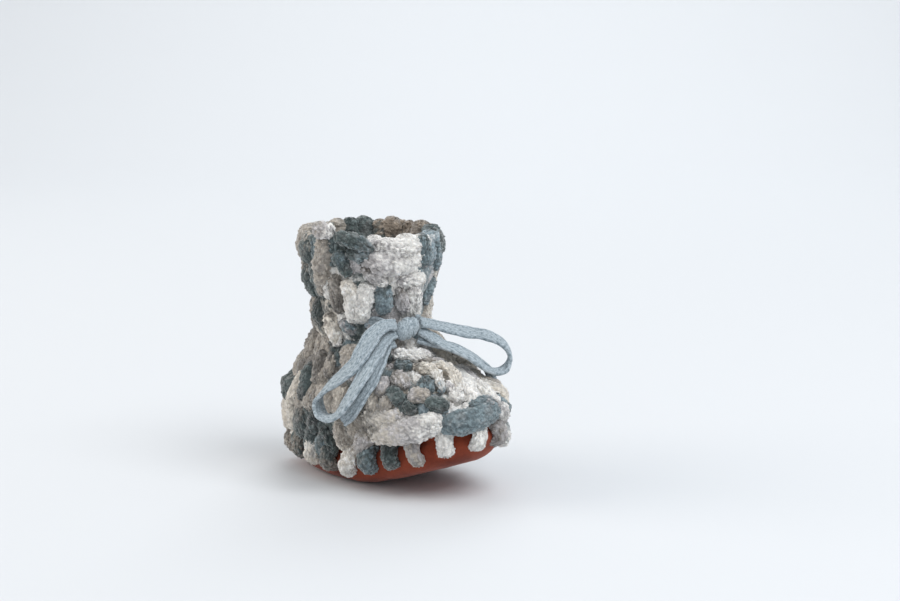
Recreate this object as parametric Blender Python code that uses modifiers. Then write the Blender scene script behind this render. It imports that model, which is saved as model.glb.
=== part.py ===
"""Baby bootie: a crocheted upper worked in rounds, laced to a cupped suede sole and
closed at the waist by a flat drawstring tied in a bow.

Metres, +Z up, toe towards +X. The origin is on the ground, under the middle of the bootie.
"""
import math

import bmesh
import bpy
from mathutils import Matrix, Vector

# ---- driving dimensions -------------------------------------------------------------------
LEG_X = -0.0150          # the leg's axis, behind the bootie's middle
WALL = 0.0075            # thickness of the crocheted fabric
BULGE = 0.0020           # how far each round swells between its two edges
GAP = 0.0005             # left between pieces that touch

# The outer surface of the upper, one row for each edge between two rounds, bottom to top:
# back x, back z, front x, front z, half width, squareness (x is measured from the leg's axis).
EDGES = (
    (-0.0480, 0.0192, 0.0780, 0.0362, 0.0335, 2.30),
    (-0.0515, 0.0330, 0.0805, 0.0450, 0.0365, 2.30),
    (-0.0435, 0.0470, 0.0660, 0.0525, 0.0340, 2.20),
    (-0.0350, 0.0590, 0.0470, 0.0605, 0.0310, 2.10),
    (-0.0280, 0.0695, 0.0305, 0.0700, 0.0280, 2.00),
    (-0.0300, 0.0860, 0.0305, 0.0860, 0.0300, 2.00),
    (-0.0340, 0.1025, 0.0335, 0.1025, 0.0330, 2.00),
    (-0.0350, 0.1185, 0.0350, 0.1170, 0.0350, 2.00),
)
ROUND_NAMES = (
    "foot_round_1",
    "foot_round_2",
    "instep_round_1",
    "instep_round_2",
    "waist_round",
    "cuff_round",
    "collar_round",
)
ANGLE_STEPS = 40         # sections round the leg in every round
BULGE_SHARES = (0.2, 0.5, 0.8)    # where a round's outer face has points between its edges
FRAME_STEP = 0.02        # the step that slopes are measured over, in levels and radians
TOE_RISE_POWER = 2.0     # how sharply an edge climbs towards the toe

# The sole
SOLE_BACK, SOLE_FRONT, SOLE_HALF = -0.0440, 0.0765, 0.0285
SOLE_THICK = 0.0018
SOLE_SQUARENESS = 2.3
SOLE_SECTIONS = 56
# Its wall from the edge down to the flat bottom: distance in from the outline, and height.
SOLE_WALL = (
    (0.0000, 0.0131),
    (0.0000, 0.0105),
    (0.0006, 0.0075),
    (0.0024, 0.0038),
    (0.0055, 0.0012),
    (0.0095, 0.0000),
)
SOLE_BOTTOM_SHARES = (0.66, 0.33)    # rows across the bottom, as shares of its width
LIFT_START, LIFT_TOE, LIFT_POWER = 0.014, 0.0200, 1.25
TOE_LOWER = 0.18         # share of the wall's height lost at the toe, where it lifts into the upper

# The lacing that joins the upper to the sole
LACE_COUNT = 22
LACE_SAMPLES = 14
HOLE_HEIGHT, HOLE_RADIUS = 0.0080, 0.0023
HOLE_CUT = 0.006         # length of the cutter, a little more than the wall on both sides
OUTLINE_SAMPLES = 720    # points read along the sole's edge to space the stitches evenly
# One stitch, as a closed loop round the sole's edge: outward from the edge, height, radius.
LACE_LOOP = (
    (-0.0018, 0.0080, 0.0014),
    (0.0010, 0.0077, 0.0015),
    (0.0037, 0.0098, 0.0027),
    (0.0041, 0.0122, 0.0031),
    (0.0024, 0.0153, 0.0024),
    (-0.0012, 0.0168, 0.0019),
    (-0.0045, 0.0148, 0.0017),
    (-0.0050, 0.0116, 0.0016),
    (-0.0043, 0.0089, 0.0014),
)

# The drawstring: a flat cord that runs inside the waist round's wall and out at the front
CORD_WIDE, CORD_THICK = 0.0080, 0.0020
CORD_EDGE = 0.8              # how far its edges are rounded in, as a share of half its thickness
CORD_RUNNING_GAP = 0.0004    # clearance in the channel it runs through
BAND_LEVEL = 4.42            # its height in the waist round, counted like the edges
# The bow is laid out as if it faced straight ahead, in the leg's axis's own coordinates, and
# is then turned about that axis, because it sits a little to the near side of the front.
KNOT_TURN = -12.0            # degrees
KNOT_CENTRE = (0.0366, -0.0025, 0.0755)
KNOT_HALF = (0.0039, 0.0060, 0.0050)
# Degrees round the leg from the toe, and distance outward from the upper's surface.
BAND_EXIT_NEAR = ((29.0, 0.0036), (32.5, 0.0020), (37.0, -0.0005), (43.0, -0.0024))
BAND_EXIT_FAR = ((-2.6, 0.0036), (1.0, 0.0020), (5.5, -0.0005), (11.5, -0.0024))
BAND_DEPTH = -0.0029
BAND_STEPS = 20              # points along the part of the band inside the wall

# Where each free length of cord runs: a point on it, then the way its outer face looks.
LOOP_LEFT = (
    (0.0375, -0.0090, 0.0780, 0.75, -0.10, 0.65),
    (0.0365, -0.0140, 0.0780, 0.60, -0.35, 0.75),
    (0.0360, -0.0195, 0.0750, 0.60, -0.45, 0.65),
    (0.0360, -0.0250, 0.0685, 0.55, -0.55, 0.60),
    (0.0355, -0.0300, 0.0615, 0.40, -0.70, 0.55),
    (0.0315, -0.0350, 0.0555, 0.00, -0.80, 0.60),
    (0.0250, -0.0390, 0.0495, -0.40, -0.70, 0.50),
    (0.0200, -0.0405, 0.0435, -0.80, -0.50, 0.10),
    (0.0215, -0.0405, 0.0380, -0.60, -0.30, -0.70),
    (0.0280, -0.0410, 0.0365, -0.10, 0.10, -1.00),
    (0.0355, -0.0400, 0.0390, 0.20, 0.60, -0.75),
    (0.0400, -0.0370, 0.0455, 0.10, 0.80, -0.55),
    (0.0410, -0.0315, 0.0535, -0.10, 0.80, -0.55),
    (0.0400, -0.0250, 0.0615, -0.25, 0.70, -0.65),
    (0.0380, -0.0185, 0.0680, -0.35, 0.50, -0.75),
    (0.0365, -0.0135, 0.0725, -0.50, 0.25, -0.80),
    (0.0365, -0.0090, 0.0740, -0.75, 0.05, -0.65),
)
TAIL_LEFT = (
    (0.0360, -0.0090, 0.0695, 0.65, -0.10, 0.75),
    (0.0355, -0.0130, 0.0685, 0.50, -0.30, 0.85),
    (0.0375, -0.0170, 0.0650, 0.50, -0.40, 0.80),
    (0.0400, -0.0215, 0.0600, 0.50, -0.60, 0.65),
    (0.0415, -0.0260, 0.0530, 0.40, -0.75, 0.50),
    (0.0400, -0.0300, 0.0465, 0.30, -0.85, 0.40),
    (0.0370, -0.0330, 0.0405, 0.30, -0.95, 0.15),
    (0.0315, -0.0345, 0.0355, 0.25, -0.95, 0.00),
)
LOOP_RIGHT = (
    (0.0375, 0.0045, 0.0780, 0.75, 0.10, 0.65),
    (0.0370, 0.0100, 0.0765, 0.50, -0.05, 0.85),
    (0.0370, 0.0180, 0.0740, 0.40, -0.20, 0.90),
    (0.0380, 0.0285, 0.0710, 0.45, -0.20, 0.90),
    (0.0415, 0.0380, 0.0690, 0.50, 0.05, 0.85),
    (0.0455, 0.0450, 0.0650, 0.55, 0.55, 0.60),
    (0.0480, 0.0475, 0.0585, 0.50, 0.85, 0.10),
    (0.0480, 0.0440, 0.0530, 0.10, 0.40, -0.90),
    (0.0490, 0.0370, 0.0530, -0.20, -0.20, -0.95),
    (0.0510, 0.0295, 0.0570, -0.40, -0.40, -0.80),
    (0.0510, 0.0200, 0.0635, -0.40, -0.35, -0.85),
    (0.0455, 0.0125, 0.0675, -0.45, -0.25, -0.85),
    (0.0400, 0.0085, 0.0710, -0.50, -0.10, -0.85),
    (0.0365, 0.0045, 0.0740, -0.75, -0.05, -0.65),
)
TAIL_RIGHT = (
    (0.0360, 0.0040, 0.0700, 0.65, 0.00, 0.75),
    (0.0400, 0.0095, 0.0680, 0.40, 0.10, 0.90),
    (0.0410, 0.0165, 0.0660, 0.40, 0.20, 0.90),
    (0.0425, 0.0245, 0.0630, 0.35, 0.35, 0.85),
    (0.0420, 0.0320, 0.0590, 0.25, 0.55, 0.80),
    (0.0400, 0.0390, 0.0540, 0.15, 0.75, 0.65),
    (0.0375, 0.0435, 0.0485, 0.05, 0.85, 0.50),
    (0.0360, 0.0465, 0.0420, 0.00, 1.00, 0.20),
    (0.0345, 0.0470, 0.0365, 0.00, 1.00, 0.00),
)

# What moves: the leg leans on the soft waist, and each half of the bow lifts at the knot.
LEG_PIVOT = (0.0, 0.0, 0.0745)
BOW_LEFT_PIVOT = (0.0378, -0.0088, 0.0781)     # these two turn with the bow
BOW_RIGHT_PIVOT = (0.0378, 0.0038, 0.0781)

SUEDE = (0.130, 0.045, 0.032)
CREAM = (0.560, 0.545, 0.510)
GREIGE = (0.300, 0.270, 0.230)
TEAL = (0.130, 0.170, 0.185)
CORD_BLUE = (0.420, 0.480, 0.510)


# ---- helpers ------------------------------------------------------------------------------
def clear_scene():
    for obj in list(bpy.data.objects):
        bpy.data.objects.remove(obj, do_unlink=True)


def collection(name, hidden=False):
    made = bpy.data.collections.new(name)
    bpy.context.scene.collection.children.link(made)
    made.hide_render = hidden
    return made


def material(name, colour, roughness):
    made = bpy.data.materials.new(name)
    made.use_nodes = True
    shader = made.node_tree.nodes["Principled BSDF"]
    shader.inputs["Base Color"].default_value = (*colour, 1.0)
    shader.inputs["Roughness"].default_value = roughness
    shader.inputs["Metallic"].default_value = 0.0
    return made


def add_object(name, mesh, group, finish=None):
    made = bpy.data.objects.new(name, mesh)
    group.objects.link(made)
    if finish:
        mesh.materials.append(finish)
    return made


def smooth(mesh, degrees=40):
    mesh.shade_smooth()
    mesh.set_sharp_from_angle(angle=math.radians(degrees))


def spline(rows, at, cyclic=False):
    """A Catmull-Rom curve through rows of numbers, read at a position counted in rows."""
    count = len(rows)
    first = math.floor(at) if cyclic else min(max(math.floor(at), 0), count - 2)
    part = at - first

    def row(index):
        return rows[index % count] if cyclic else rows[min(max(index, 0), count - 1)]

    found = []
    for a, b, c, d in zip(row(first - 1), row(first), row(first + 1), row(first + 2)):
        curve = 2 * b + (c - a) * part + (2 * a - 5 * b + 4 * c - d) * part ** 2
        found.append((curve + (3 * b - a - 3 * c + d) * part ** 3) / 2)
    return found


def oval(angle, squareness):
    """A point of a unit oval: a circle at squareness 2, and fuller at the corners above it."""
    power = 2 / squareness
    cosine, sine = math.cos(angle), math.sin(angle)
    along = math.copysign(abs(cosine) ** power, cosine)
    return along, math.copysign(abs(sine) ** power, sine)


def mesh_from_rings(name, rings, close_ends=True):
    """A mesh lofted through closed rings of points. With no ends, the last ring joins the first."""
    shape = bmesh.new()
    loops = [[shape.verts.new(point) for point in ring] for ring in rings]
    around = len(rings[0])
    pairs = list(zip(loops, loops[1:]))
    if not close_ends:
        pairs.append((loops[-1], loops[0]))
    for low, high in pairs:
        for i in range(around):
            j = (i + 1) % around
            shape.faces.new((low[i], low[j], high[j], high[i]))
    if close_ends:
        shape.faces.new(list(reversed(loops[0])))
        shape.faces.new(loops[-1])
    bmesh.ops.recalc_face_normals(shape, faces=shape.faces)
    mesh = bpy.data.meshes.new(name)
    shape.to_mesh(mesh)
    shape.free()
    return mesh


# ---- the upper ----------------------------------------------------------------------------
def edge_point(level, angle):
    """A point of the upper's outer surface. Angle 0 is the toe, and level counts the edges."""
    back_x, back_z, front_x, front_z, half, squareness = spline(EDGES, level)
    along, across = oval(angle, squareness)
    toe_share = ((1 + along) / 2) ** TOE_RISE_POWER
    x = LEG_X + (front_x + back_x) / 2 + (front_x - back_x) / 2 * along
    return Vector((x, half * across, back_z + (front_z - back_z) * toe_share))


def surface_frame(level, angle):
    """The direction up that surface and its unit normal, pointing away from the foot."""
    above = min(level + FRAME_STEP, len(EDGES) - 1)
    below = max(level - FRAME_STEP, 0)
    up = edge_point(above, angle) - edge_point(below, angle)
    along = edge_point(level, angle + FRAME_STEP) - edge_point(level, angle - FRAME_STEP)
    return up.normalized(), along.cross(up).normalized()


def round_section(index, angle):
    """One round's section at an angle: up its swelling outer face, then down its inner face."""
    corners = []
    for level, side in ((index, 1), (index + 1, -1)):
        up, normal = surface_frame(level, angle)
        edge = edge_point(level, angle) + up * side * GAP
        corners.append((edge, edge - normal * WALL))
    (low_out, low_in), (high_out, high_in) = corners
    outer = [low_out]
    for share in BULGE_SHARES:
        _, normal = surface_frame(index + share, angle)
        swell = BULGE * math.sin(math.pi * share)
        outer.append(edge_point(index + share, angle) + normal * swell)
    return outer + [high_out, high_in, (high_in + low_in) / 2, low_in]


def make_round(index, finish, group):
    """A ring of the upper, lofted round the leg, with no ends."""
    step = 2 * math.pi / ANGLE_STEPS
    rings = [round_section(index, i * step) for i in range(ANGLE_STEPS)]
    mesh = mesh_from_rings(ROUND_NAMES[index], rings, close_ends=False)
    smooth(mesh)
    return add_object(ROUND_NAMES[index], mesh, group, finish)


# ---- the sole -----------------------------------------------------------------------------
def toe_share(x):
    """How far x is along the lifted part of the sole, measured from the leg's axis."""
    return max(0.0, (x - LIFT_START) / (SOLE_FRONT - LIFT_START))


def above_ground(x, height):
    """The real height of a point of the sole's wall that would be at this height at the heel."""
    share = toe_share(x)
    return height * (1 - TOE_LOWER * share) + LIFT_TOE * share ** LIFT_POWER


def sole_outline(angle, inset=0.0):
    """A point of the sole's edge seen from above, and the direction straight out from it."""
    mid = (SOLE_FRONT + SOLE_BACK) / 2
    long_half = (SOLE_FRONT - SOLE_BACK) / 2 - inset
    half = SOLE_HALF - inset
    along, across = oval(angle, SOLE_SQUARENESS)
    x, y = mid + long_half * along, half * across
    power = SOLE_SQUARENESS - 1
    slope_x = math.copysign(abs(along) ** power, along) / long_half
    slope_y = math.copysign(abs(across) ** power, across) / half
    return x, y, Vector((slope_x, slope_y, 0)).normalized()


def sole_ring(inset, height, share=1.0):
    """Points round the sole at one inset from its outline, drawn in towards the middle line."""
    ring = []
    for i in range(SOLE_SECTIONS):
        x, y, _ = sole_outline(2 * math.pi * i / SOLE_SECTIONS, inset)
        ring.append((x + LEG_X, y * share, above_ground(x, height)))
    return ring


def make_sole(finish, group, helpers):
    """An open dish with thickness, its bottom flat under the heel and rising to the toe."""
    rings = [sole_ring(inset, height) for inset, height in SOLE_WALL]
    rings += [sole_ring(*SOLE_WALL[-1], share) for share in SOLE_BOTTOM_SHARES]
    shape = bmesh.new()
    loops = [[shape.verts.new(point) for point in ring] for ring in rings]
    for high, low in zip(loops, loops[1:]):
        for i in range(SOLE_SECTIONS):
            j = (i + 1) % SOLE_SECTIONS
            shape.faces.new((high[j], high[i], low[i], low[j]))
    # The last ring is closed with strips from one side to the other.
    last = loops[-1]
    for i in range(SOLE_SECTIONS // 2):
        corners = list(dict.fromkeys((last[i], last[i + 1], last[-i - 1], last[-i])))
        if len(corners) > 2:
            shape.faces.new(corners)
    bmesh.ops.remove_doubles(shape, verts=shape.verts, dist=0.00002)
    bmesh.ops.recalc_face_normals(shape, faces=shape.faces)
    mesh = bpy.data.meshes.new("suede_sole")
    shape.to_mesh(mesh)
    shape.free()
    sole = add_object("suede_sole", mesh, group, finish)
    solid = sole.modifiers.new("thickness", "SOLIDIFY")
    solid.thickness = SOLE_THICK
    solid.offset = -1
    punch = sole.modifiers.new("punched_holes", "BOOLEAN")
    punch.operation = "DIFFERENCE"
    punch.object = hole_cutter(helpers)
    smooth(mesh)
    return sole


def lace_places():
    """Points spaced evenly along the sole's edge, and the direction straight out from each."""
    turn = 2 * math.pi / OUTLINE_SAMPLES
    points = [sole_outline(i * turn) for i in range(OUTLINE_SAMPLES + 1)]
    lengths = [0.0]
    for (xa, ya, _), (xb, yb, _) in zip(points, points[1:]):
        lengths.append(lengths[-1] + math.hypot(xb - xa, yb - ya))
    places = []
    for k in range(LACE_COUNT):
        want = lengths[-1] * (k + 0.5) / LACE_COUNT
        i = next(n for n, length in enumerate(lengths) if length >= want)
        x, y, away = points[i]
        places.append((Vector((x + LEG_X, y, 0)), away))
    return places


def hole_cutter(helpers):
    shape = bmesh.new()
    for place, away in lace_places():
        high = above_ground(place.x - LEG_X, HOLE_HEIGHT)
        centre = place + away * LACE_LOOP[0][0] + Vector((0, 0, high))
        turn = away.to_track_quat("Z", "Y").to_matrix().to_4x4()
        bmesh.ops.create_cone(
            shape,
            cap_ends=True,
            segments=10,
            radius1=HOLE_RADIUS,
            radius2=HOLE_RADIUS,
            depth=HOLE_CUT,
            matrix=Matrix.Translation(centre) @ turn,
        )
    mesh = bpy.data.meshes.new("hole_cutter")
    shape.to_mesh(mesh)
    shape.free()
    cutter = add_object("hole_cutter", mesh, helpers)
    cutter.hide_render = True
    cutter.display_type = "WIRE"
    return cutter


def make_lace(index, place, away, finish, group):
    """One lacing stitch: a closed loop of yarn through its hole and over the sole's edge."""
    curve = bpy.data.curves.new(f"lace_stitch_{index:02d}", "CURVE")
    curve.dimensions = "3D"
    curve.bevel_depth = 1.0
    curve.bevel_resolution = 2
    path = curve.splines.new("POLY")
    path.points.add(LACE_SAMPLES - 1)
    path.use_cyclic_u = True
    for i in range(LACE_SAMPLES):
        at = i * len(LACE_LOOP) / LACE_SAMPLES
        out, height, radius = spline(LACE_LOOP, at, cyclic=True)
        high = above_ground(place.x - LEG_X, height)
        point = place + away * out + Vector((0, 0, high))
        path.points[i].co = (*point, 1.0)
        path.points[i].radius = radius
    curve.materials.append(finish)
    made = bpy.data.objects.new(f"lace_stitch_{index:02d}", curve)
    group.objects.link(made)
    return made


# ---- the drawstring -----------------------------------------------------------------------
def from_leg(point):
    """A point given from the leg's axis, in world coordinates."""
    return Vector((point[0] + LEG_X, point[1], point[2]))


def ribbon_rings(route, spare=0.0):
    """Sections of a flat cord along a route, whose rows each hold a point and a face direction."""
    half, thick = CORD_WIDE / 2 + spare, CORD_THICK / 2 + spare
    flat = half - thick * CORD_EDGE
    outline = [(half, thick / 2), (flat, thick), (-flat, thick), (-half, thick / 2)]
    outline += [(-across, -out) for across, out in outline]
    rings = []
    for i in range(2 * len(route) - 1):
        at = i / 2
        row = spline(route, at)
        ahead = spline(route, min(at + 0.1, len(route) - 1))
        behind = spline(route, max(at - 0.1, 0))
        centre = Vector(row[:3])
        along = (Vector(ahead[:3]) - Vector(behind[:3])).normalized()
        face = Vector(row[3:])
        face = (face - along * face.dot(along)).normalized()
        side = along.cross(face)
        rings.append([centre + side * across + face * out for across, out in outline])
    return rings


def bow_turn():
    return Matrix.Rotation(math.radians(KNOT_TURN), 3, "Z")


def bow_place(point):
    """A point of the bow in world coordinates."""
    return from_leg(bow_turn() @ Vector(point))


def free_route(rows):
    """A loop's or tail's route in world coordinates."""
    return [(*bow_place(row[:3]), *(bow_turn() @ Vector(row[3:]))) for row in rows]


def band_route():
    """Out of the wall beside the knot, round the leg inside the wall, and out again."""
    start, end = BAND_EXIT_FAR[-1][0], 360 - BAND_EXIT_NEAR[-1][0]
    places = list(BAND_EXIT_FAR)
    step = (end - start) / BAND_STEPS
    places += [(start + step * i, BAND_DEPTH) for i in range(1, BAND_STEPS)]
    places += [(360 - degrees, out) for degrees, out in reversed(BAND_EXIT_NEAR)]
    route = []
    for degrees, out in places:
        angle = math.radians(degrees)
        _, normal = surface_frame(BAND_LEVEL, angle)
        point = edge_point(BAND_LEVEL, angle) + normal * out
        route.append((*point, *normal))
    return route


def make_ribbon(name, route, group, finish, spare=0.0):
    mesh = mesh_from_rings(name, ribbon_rings(route, spare))
    smooth(mesh, 60)
    return add_object(name, mesh, group, finish)


def make_knot(finish, group):
    shape = bmesh.new()
    turn = bow_turn().to_4x4() @ Matrix.Diagonal((*KNOT_HALF, 1.0))
    turn = Matrix.Translation(bow_place(KNOT_CENTRE)) @ turn
    bmesh.ops.create_uvsphere(shape, u_segments=16, v_segments=10, radius=1.0, matrix=turn)
    mesh = bpy.data.meshes.new("tie_knot")
    shape.to_mesh(mesh)
    shape.free()
    smooth(mesh)
    return add_object("tie_knot", mesh, group, finish)


def cut_channel(waist, helpers):
    """The tunnel in the waist round's wall that the drawstring runs through."""
    cutter = make_ribbon("channel_cutter", band_route(), helpers, None, CORD_RUNNING_GAP)
    cutter.hide_render = True
    cutter.display_type = "WIRE"
    channel = waist.modifiers.new("cord_channel", "BOOLEAN")
    channel.operation = "DIFFERENCE"
    channel.object = cutter


def set_origin(obj, place):
    """Puts an object's origin on the axis it turns about, without moving its shape."""
    obj.data.transform(Matrix.Translation(-place))
    obj.location = place


def main():
    clear_scene()
    bootie = collection("baby_bootie")
    helpers = collection("cutters", hidden=True)
    yarns = (
        material("yarn_cream", CREAM, 0.95),
        material("yarn_greige", GREIGE, 0.95),
        material("yarn_teal", TEAL, 0.95),
    )
    suede = material("suede", SUEDE, 0.9)
    make_sole(suede, bootie, helpers)
    for index, (place, away) in enumerate(lace_places()):
        make_lace(index + 1, place, away, yarns[index % 3], bootie)
    rounds = {
        name: make_round(index, yarns[index % 3], bootie)
        for index, name in enumerate(ROUND_NAMES)
    }
    cut_channel(rounds["waist_round"], helpers)
    cord = material("cord_blue", CORD_BLUE, 0.85)
    make_ribbon("tie_band", band_route(), bootie, cord)
    make_knot(cord, bootie)
    for name, rows, pivot in (
        ("bow_loop_left", LOOP_LEFT, BOW_LEFT_PIVOT),
        ("tie_tail_left", TAIL_LEFT, BOW_LEFT_PIVOT),
        ("bow_loop_right", LOOP_RIGHT, BOW_RIGHT_PIVOT),
        ("tie_tail_right", TAIL_RIGHT, BOW_RIGHT_PIVOT),
    ):
        set_origin(make_ribbon(name, free_route(rows), bootie, cord), bow_place(pivot))
    for name in ("cuff_round", "collar_round"):
        set_origin(rounds[name], from_leg(LEG_PIVOT))


main()
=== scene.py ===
"""Baby bootie in chunky chenille yarn, with a laced suede sole and a jersey drawstring.

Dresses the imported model: every crocheted round is rebuilt stitch by stitch from plump
chenille tufts that follow the upper's surface, and rides on the same body as its CAD solid.
"""
import math
import random

import bpy
import numpy as np
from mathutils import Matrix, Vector


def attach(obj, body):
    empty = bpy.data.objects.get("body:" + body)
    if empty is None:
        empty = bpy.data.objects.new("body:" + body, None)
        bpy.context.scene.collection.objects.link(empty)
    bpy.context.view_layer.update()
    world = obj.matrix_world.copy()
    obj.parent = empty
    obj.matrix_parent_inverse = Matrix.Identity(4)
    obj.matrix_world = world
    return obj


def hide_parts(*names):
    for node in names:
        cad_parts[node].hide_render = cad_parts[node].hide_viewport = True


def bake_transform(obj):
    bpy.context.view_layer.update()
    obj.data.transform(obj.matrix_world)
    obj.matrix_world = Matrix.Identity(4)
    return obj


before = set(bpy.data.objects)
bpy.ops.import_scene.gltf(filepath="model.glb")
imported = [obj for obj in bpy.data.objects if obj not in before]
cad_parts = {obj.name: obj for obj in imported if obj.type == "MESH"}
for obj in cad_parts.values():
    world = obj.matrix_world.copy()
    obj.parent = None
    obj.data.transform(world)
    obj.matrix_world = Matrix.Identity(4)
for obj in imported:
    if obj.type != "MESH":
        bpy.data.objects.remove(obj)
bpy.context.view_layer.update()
SEED = 11

# ---- the upper's surface, as in the model -------------------------------------------------
LEG_X = -0.0150
EDGES = (
    (-0.0480, 0.0192, 0.0780, 0.0362, 0.0335, 2.30),
    (-0.0515, 0.0330, 0.0805, 0.0450, 0.0365, 2.30),
    (-0.0435, 0.0470, 0.0660, 0.0525, 0.0340, 2.20),
    (-0.0350, 0.0590, 0.0470, 0.0605, 0.0310, 2.10),
    (-0.0280, 0.0695, 0.0305, 0.0700, 0.0280, 2.00),
    (-0.0300, 0.0860, 0.0305, 0.0860, 0.0300, 2.00),
    (-0.0340, 0.1025, 0.0335, 0.1025, 0.0330, 2.00),
    (-0.0350, 0.1185, 0.0350, 0.1170, 0.0350, 2.00),
)
ROUNDS = (
    "foot_round_1",
    "foot_round_2",
    "instep_round_1",
    "instep_round_2",
    "waist_round",
    "cuff_round",
    "collar_round",
)
TOP = len(EDGES) - 1
CUFF = ROUNDS.index("cuff_round")
TOE_RISE_POWER = 2.0
SOLE_BACK, SOLE_FRONT, SOLE_HALF = -0.0440, 0.0765, 0.0285
SOLE_THICK, SOLE_SQUARENESS = 0.0018, 2.3
LIFT_START, LIFT_TOE, LIFT_POWER = 0.014, 0.0200, 1.25
TOE_LOWER = 0.18
LACE_COUNT = 22
HOLE_HEIGHT, HOLE_RADIUS = 0.0080, 0.0023

# ---- colours ------------------------------------------------------------------------------
def linear(red, green, blue):
    """A display colour of 0 to 255 as linear light."""
    return tuple(((c / 255 + 0.055) / 1.055) ** 2.4 for c in (red, green, blue))


YARN = {
    "W": linear(248, 244, 238),
    "C": linear(236, 227, 214),
    "B": linear(188, 179, 168),
    "G": linear(142, 136, 129),
    "M": linear(160, 146, 131),
    "L": linear(206, 201, 200),
    "T": linear(104, 115, 114),
    "K": linear(80, 88, 87),
    "N": linear(134, 149, 154),
    "S": linear(150, 166, 173),
}
DRIFT_GREY = linear(166, 162, 159)
# Each round's stitches in order, one letter each: from the toe along the near side to the
# heel, and back along the far side.
ROUND_YARN = {
    "foot_round_1": "NNNWWLCBBBTTKTGCCBB" "GTKKTTNLWWWCBBGGTNW",
    "foot_round_2": "WWWSTBLTBCBGBBTTTCC" "GBBCWWNNSTTKKGBBCWL",
    "instep_round_1": "WCWBNKLTGBBGGBTTC" "BGTTKNNSLLWWCBLW",
    "instep_round_2": "WLBLTNKGBBGTTG" "BBCWLNTTKGBCL",
    "waist_round": "WLLTWCKGBBG" "BTKNNSLWCBS",
    "cuff_round": "WWLTWWTTGBBB" "GKTNNSBBCLN",
    "collar_round": "WWWLTTNTBBBG" "BTTTMMMNTNSW",
}


# ---- camera -------------------------------------------------------------------------------
AZIMUTH, ELEVATION = math.radians(45), math.radians(10)
CAMERA_DISTANCE, CAMERA_LENS = 1.0, 85
CAMERA_TARGET = Vector((0.0198, 0.0185, 0.0850))


def add_object(name, data):
    made = bpy.data.objects.new(name, data)
    bpy.context.scene.collection.objects.link(made)
    return made


def add_camera():
    away = Vector((
        math.sin(AZIMUTH) * math.cos(ELEVATION),
        -math.cos(AZIMUTH) * math.cos(ELEVATION),
        math.sin(ELEVATION),
    ))
    data = bpy.data.cameras.new("camera")
    data.lens = CAMERA_LENS
    camera = add_object("camera", data)
    camera.location = CAMERA_TARGET + away * CAMERA_DISTANCE
    camera.rotation_euler = away.to_track_quat("Z", "Y").to_euler()
    bpy.context.scene.camera = camera


# ---- numbers ------------------------------------------------------------------------------
def spline(rows, at):
    """A Catmull-Rom curve through rows of numbers, read at positions counted in rows."""
    rows = np.asarray(rows, float)
    count = len(rows)
    at = np.atleast_1d(np.asarray(at, float))
    first = np.clip(np.floor(at), 0, count - 2).astype(int)
    part = (at - first)[:, None]
    a, b, c, d = (rows[np.clip(first + k, 0, count - 1)] for k in (-1, 0, 1, 2))
    low = 2 * b + (c - a) * part + (2 * a - 5 * b + 4 * c - d) * part ** 2
    return (low + (3 * b - a - 3 * c + d) * part ** 3) / 2


def unit(vectors):
    return vectors / np.maximum(np.linalg.norm(vectors, axis=-1, keepdims=True), 1e-12)


EDGE_STEP = 0.2    # how far in from an edge its direction is read, in levels
NORMAL_STEP = 0.03


def edge_point(level, angle):
    """Points of the upper's outer surface. Past its edges the surface runs straight on."""
    level, angle = np.broadcast_arrays(np.atleast_1d(level), np.atleast_1d(angle))
    inside = np.clip(level, 0, TOP)
    back_x, back_z, front_x, front_z, half, squareness = spline(EDGES, inside).T
    cosine, sine = np.cos(angle), np.sin(angle)
    along = np.sign(cosine) * np.abs(cosine) ** (2 / squareness)
    across = np.sign(sine) * np.abs(sine) ** (2 / squareness)
    share = ((1 + along) / 2) ** TOE_RISE_POWER
    x = LEG_X + (front_x + back_x) / 2 + (front_x - back_x) / 2 * along
    found = np.stack([x, half * across, back_z + (front_z - back_z) * share], -1)
    over = np.maximum(level - TOP, 0) - np.maximum(-level, 0)
    if np.any(over != 0):
        near = np.where(level > TOP, TOP - EDGE_STEP, EDGE_STEP)
        edge = np.where(level > TOP, TOP, 0.0)
        step = edge_point(edge, angle) - edge_point(near, angle)
        onward = found + step * np.abs(over)[:, None] / EDGE_STEP
        found = np.where((over != 0)[:, None], onward, found)
    return found


def surface(level, angle):
    """Points of that surface and its unit normals."""
    up = edge_point(level + NORMAL_STEP, angle) - edge_point(level - NORMAL_STEP, angle)
    along = edge_point(level, angle + NORMAL_STEP) - edge_point(level, angle - NORMAL_STEP)
    return edge_point(level, angle), unit(np.cross(along, up))


def scramble(cells, seed):
    """Three random numbers from 0 to 1 for each whole-numbered cell."""
    x, y, z = (cells[..., i].astype(np.int64) & 0xFFFF for i in range(3))
    mixed = (x * 73856093) ^ (y * 19349663) ^ (z * 83492791) ^ (seed * 2654435761)
    found = []
    for turn in range(3):
        mixed = (mixed ^ (mixed >> 13)) * 1274126177 & 0x7FFFFFFF
        mixed = (mixed ^ (mixed >> 11)) * 668265263 & 0x7FFFFFFF
        found.append((mixed & 0xFFFFF) / 0xFFFFF)
    return np.stack(found, -1)


def knobs(points, size, seed):
    """Distance to the nearest of scattered points, in sizes, and that point's own number."""
    scaled = points / size
    base = np.floor(scaled).astype(np.int64)
    nearest = np.full(len(points), 9.0)
    number = np.zeros(len(points))
    for i in (-1, 0, 1):
        for j in (-1, 0, 1):
            for k in (-1, 0, 1):
                cell = base + (i, j, k)
                spot = scramble(cell, seed)
                gap = np.sqrt((((cell + spot) - scaled) ** 2).sum(-1))
                closer = gap < nearest
                nearest[closer] = gap[closer]
                number[closer] = spot[closer, 0]
    return nearest, number


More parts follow.
